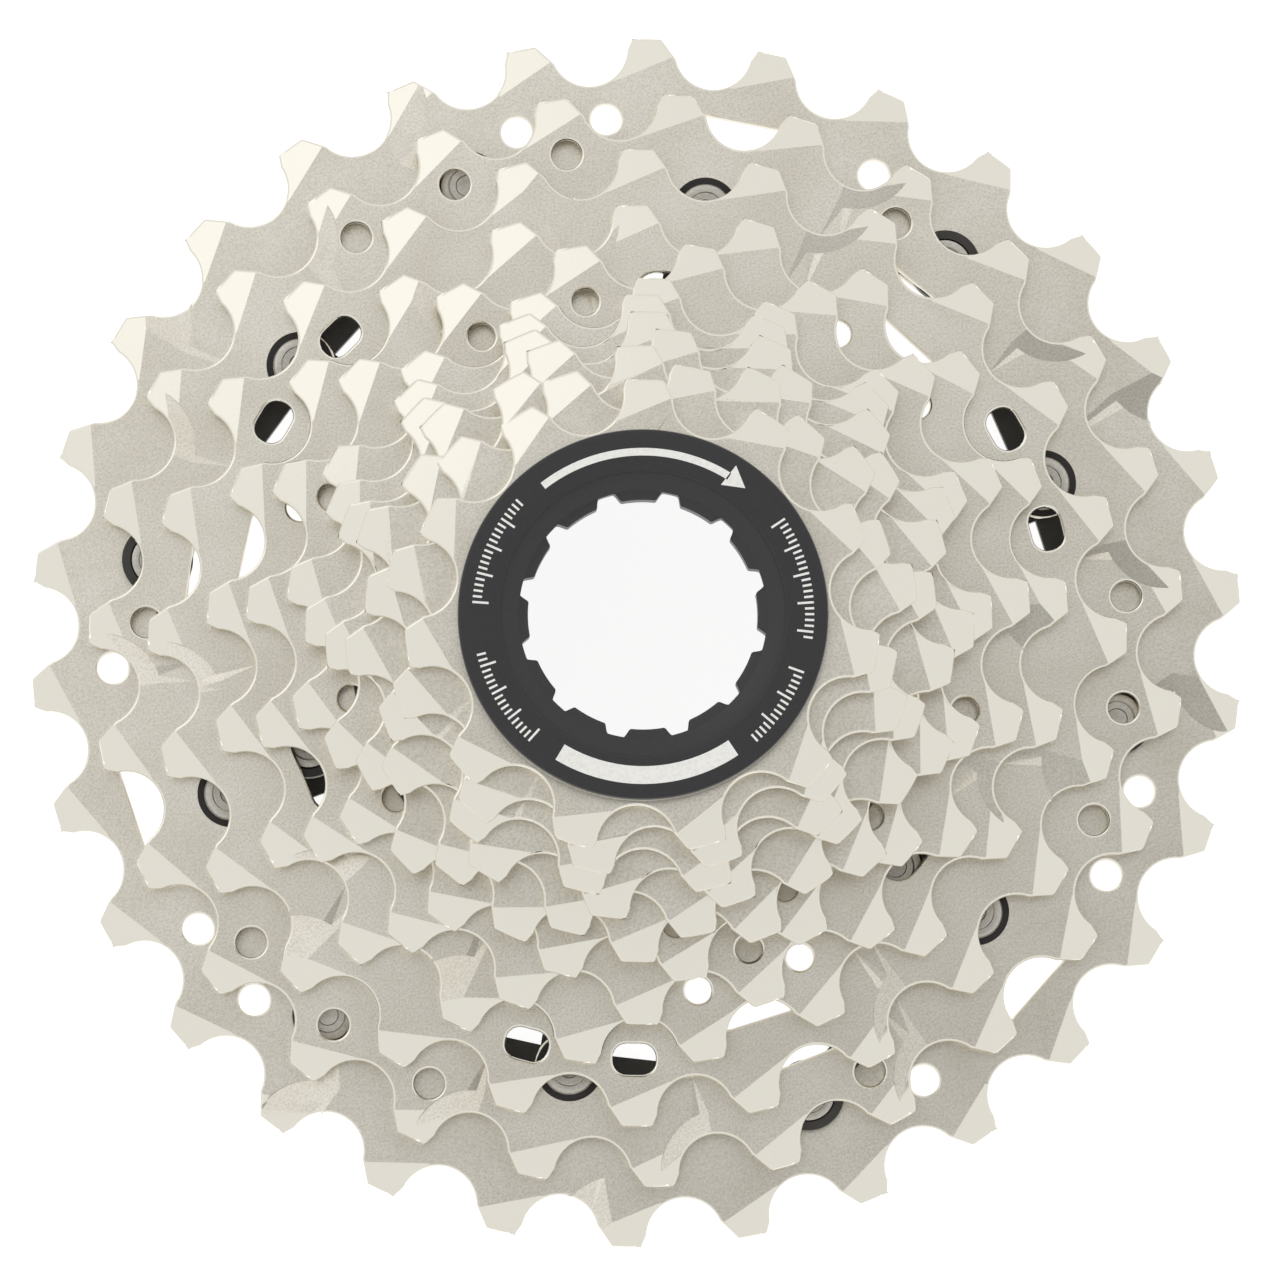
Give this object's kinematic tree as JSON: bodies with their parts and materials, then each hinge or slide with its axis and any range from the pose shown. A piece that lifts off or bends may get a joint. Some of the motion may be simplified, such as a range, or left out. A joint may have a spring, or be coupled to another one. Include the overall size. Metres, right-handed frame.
{
  "type": "bicycle cassette sprocket",
  "caption": "Stack of toothed steel sprockets on riveted spiders and spacers, with a splined bore and a threaded lockring.",
  "frame": {"origin": "centre of the spline bore on the rear face of the largest sprocket", "axes": "+Z along the bore, from the largest sprocket to the lockring; +Y points up in the front view; rests on the rear face"},
  "size_m": [0.123, 0.1232, 0.0431],
  "materials": {
    "sprocket_steel": "satin",
    "rivet_steel": "satin",
    "washer_steel": "satin",
    "black_anodised": "satin"
  },
  "bodies": {
    "cluster_27_30": {"sprocket_30": "sprocket_steel", "sprocket_27": "sprocket_steel", "spider_27_30": "black_anodised", "rivets_30": "rivet_steel", "rivets_27": "rivet_steel"},
    "loose_spacer_24_27": {"spacer_24_27": "black_anodised"},
    "cluster_21_24": {"sprocket_24": "sprocket_steel", "sprocket_21": "sprocket_steel", "spider_21_24": "black_anodised", "rivets_24": "rivet_steel", "rivets_21": "rivet_steel"},
    "loose_spacer_19_21": {"spacer_19_21": "black_anodised"},
    "cluster_17_19": {"sprocket_19": "sprocket_steel", "sprocket_17": "sprocket_steel", "carrier_17_19": "black_anodised", "rivets_17_19": "rivet_steel"},
    "loose_spacer_16_17": {"spacer_16_17": "black_anodised"},
    "loose_sprocket_16": {"sprocket_16": "sprocket_steel"},
    "loose_spacer_15_16": {"spacer_15_16": "black_anodised"},
    "loose_sprocket_15": {"sprocket_15": "sprocket_steel"},
    "loose_spacer_14_15": {"spacer_14_15": "black_anodised"},
    "loose_sprocket_14": {"sprocket_14": "sprocket_steel"},
    "loose_spacer_13_14": {"spacer_13_14": "black_anodised"},
    "loose_sprocket_13": {"sprocket_13": "sprocket_steel"},
    "loose_sprocket_12": {"sprocket_12": "sprocket_steel"},
    "loose_sprocket_11": {"sprocket_11": "sprocket_steel"},
    "flange_washer": {"lockring_washer": "washer_steel"},
    "lockring_body": {"lockring": "black_anodised"}
  },
  "joints": [
    {"name": "spacer_24_27_slide", "type": "slide", "parent": "cluster_27_30", "child": "loose_spacer_24_27", "axis": [0, 0, 1], "range_m": [0, 0.004]},
    {"name": "cluster_21_24_slide", "type": "slide", "parent": "loose_spacer_24_27", "child": "cluster_21_24", "axis": [0, 0, 1], "range_m": [0, 0.008]},
    {"name": "spacer_19_21_slide", "type": "slide", "parent": "cluster_21_24", "child": "loose_spacer_19_21", "axis": [0, 0, 1], "range_m": [0, 0.004]},
    {"name": "cluster_17_19_slide", "type": "slide", "parent": "loose_spacer_19_21", "child": "cluster_17_19", "axis": [0, 0, 1], "range_m": [0, 0.008]},
    {"name": "spacer_16_17_slide", "type": "slide", "parent": "cluster_17_19", "child": "loose_spacer_16_17", "axis": [0, 0, 1], "range_m": [0, 0.004]},
    {"name": "sprocket_16_slide", "type": "slide", "parent": "loose_spacer_16_17", "child": "loose_sprocket_16", "axis": [0, 0, 1], "range_m": [0, 0.008]},
    {"name": "spacer_15_16_slide", "type": "slide", "parent": "loose_sprocket_16", "child": "loose_spacer_15_16", "axis": [0, 0, 1], "range_m": [0, 0.004]},
    {"name": "sprocket_15_slide", "type": "slide", "parent": "loose_spacer_15_16", "child": "loose_sprocket_15", "axis": [0, 0, 1], "range_m": [0, 0.008]},
    {"name": "spacer_14_15_slide", "type": "slide", "parent": "loose_sprocket_15", "child": "loose_spacer_14_15", "axis": [0, 0, 1], "range_m": [0, 0.004]},
    {"name": "sprocket_14_slide", "type": "slide", "parent": "loose_spacer_14_15", "child": "loose_sprocket_14", "axis": [0, 0, 1], "range_m": [0, 0.008]},
    {"name": "spacer_13_14_slide", "type": "slide", "parent": "loose_sprocket_14", "child": "loose_spacer_13_14", "axis": [0, 0, 1], "range_m": [0, 0.004]},
    {"name": "sprocket_13_slide", "type": "slide", "parent": "loose_spacer_13_14", "child": "loose_sprocket_13", "axis": [0, 0, 1], "range_m": [0, 0.008]},
    {"name": "sprocket_12_slide", "type": "slide", "parent": "loose_sprocket_13", "child": "loose_sprocket_12", "axis": [0, 0, 1], "range_m": [0, 0.008]},
    {"name": "sprocket_11_slide", "type": "slide", "parent": "loose_sprocket_12", "child": "loose_sprocket_11", "axis": [0, 0, 1], "range_m": [0, 0.008]},
    {"name": "lockring_lift", "type": "slide", "parent": "loose_sprocket_11", "child": "flange_washer", "axis": [0, 0, 1], "range_m": [0, 0.0053]},
    {"name": "lockring_turn", "type": "hinge", "parent": "flange_washer", "child": "lockring_body", "pos_m": [0, 0, 0.0406], "axis": [0, 0, 1], "range_deg": [0, 1800]}
  ],
  "couplings": [
    {"joint": "lockring_lift", "follows": "lockring_turn", "m_per_rad": 0.00016839}
  ]
}
